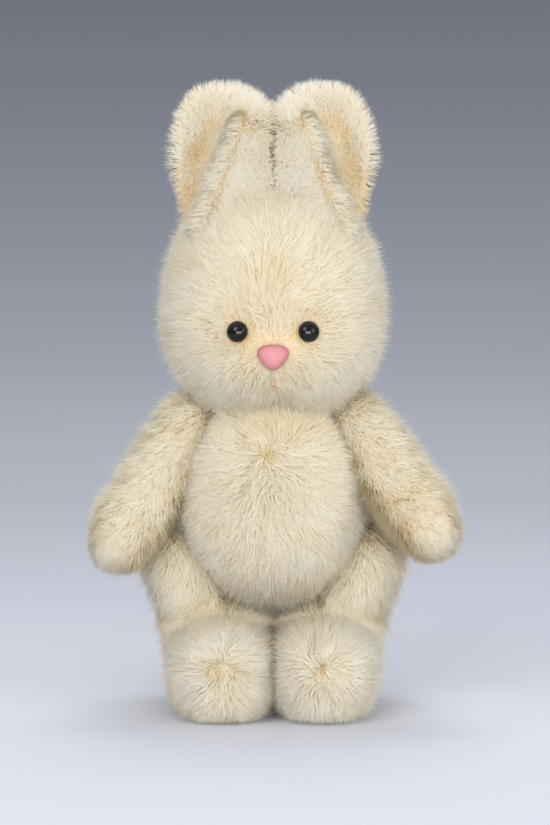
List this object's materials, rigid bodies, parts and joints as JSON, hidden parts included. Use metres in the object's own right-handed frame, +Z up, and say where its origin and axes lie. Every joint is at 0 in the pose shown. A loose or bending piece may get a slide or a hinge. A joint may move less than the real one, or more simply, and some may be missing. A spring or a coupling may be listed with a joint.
{
  "type": "jointed plush rabbit",
  "caption": "Jointed cream plush rabbit with long pile, cupped upright ears, black safety eyes, a pink nose and disc joints at the neck, shoulders and hips.",
  "frame": {"origin": "on the floor under the middle of the rabbit's box", "axes": "+Z up, from the soles to the ears; the rabbit faces -Y; +X is its own left"},
  "size_m": [0.1726, 0.1131, 0.294],
  "materials": {
    "plush": "long cream pile with golden roots",
    "filling": "white polyester fibre",
    "joint": "moulded white plastic",
    "eye": "polished black",
    "nose": "soft flocked pink",
    "thread": "twisted pink embroidery thread",
    "board": "grey-brown pressed fibre board"
  },
  "bodies": {
    "torso": {"body_skin": "plush", "body_stuffing": "filling", "tail": "plush", "neck_washer": "joint", "shoulder_left_washer": "joint", "shoulder_right_washer": "joint", "hip_left_washer": "joint", "hip_right_washer": "joint"},
    "head": {"head_skin": "plush", "head_stuffing": "filling", "ear_left": "plush", "ear_right": "plush", "eye_left": "eye", "eye_right": "eye", "eye_washer_left": "joint", "eye_washer_right": "joint", "nose": "nose", "nose_washer": "joint", "mouth_thread": "thread", "lip_thread": "thread", "neck_joint_disc": "joint", "neck_joint_lock": "joint"},
    "arm_left": {"arm_left_skin": "plush", "arm_left_stuffing": "filling", "shoulder_left_joint_disc": "joint", "shoulder_left_joint_lock": "joint"},
    "leg_left": {"leg_left_skin": "plush", "leg_left_stuffing": "filling", "hip_left_joint_disc": "joint", "hip_left_joint_lock": "joint", "sole_board_left": "board"},
    "arm_right": {"arm_right_skin": "plush", "arm_right_stuffing": "filling", "shoulder_right_joint_disc": "joint", "shoulder_right_joint_lock": "joint"},
    "leg_right": {"leg_right_skin": "plush", "leg_right_stuffing": "filling", "hip_right_joint_disc": "joint", "hip_right_joint_lock": "joint", "sole_board_right": "board"}
  },
  "joints": [
    {"name": "neck_turn", "type": "hinge", "parent": "torso", "child": "head", "pos_m": [0, 0.0045, 0.146], "axis": [0, 0, 1], "continuous": true},
    {"name": "shoulder_left_swing", "type": "hinge", "parent": "torso", "child": "arm_left", "pos_m": [0.0285, 0.0045, 0.1295], "axis": [-0.829, 0, -0.5592], "range_deg": [-60, 45]},
    {"name": "shoulder_right_swing", "type": "hinge", "parent": "torso", "child": "arm_right", "pos_m": [-0.0285, 0.0045, 0.1295], "axis": [-0.8704, 0, 0.4924], "range_deg": [-60, 55]},
    {"name": "hip_left_swing", "type": "hinge", "parent": "torso", "child": "leg_left", "pos_m": [0.03, 0.0125, 0.068], "axis": [-0.9272, 0, 0.3746], "range_deg": [-8, 48]},
    {"name": "hip_right_swing", "type": "hinge", "parent": "torso", "child": "leg_right", "pos_m": [-0.03, 0.0125, 0.068], "axis": [-0.9272, 0, -0.3746], "range_deg": [-8, 48]}
  ]
}
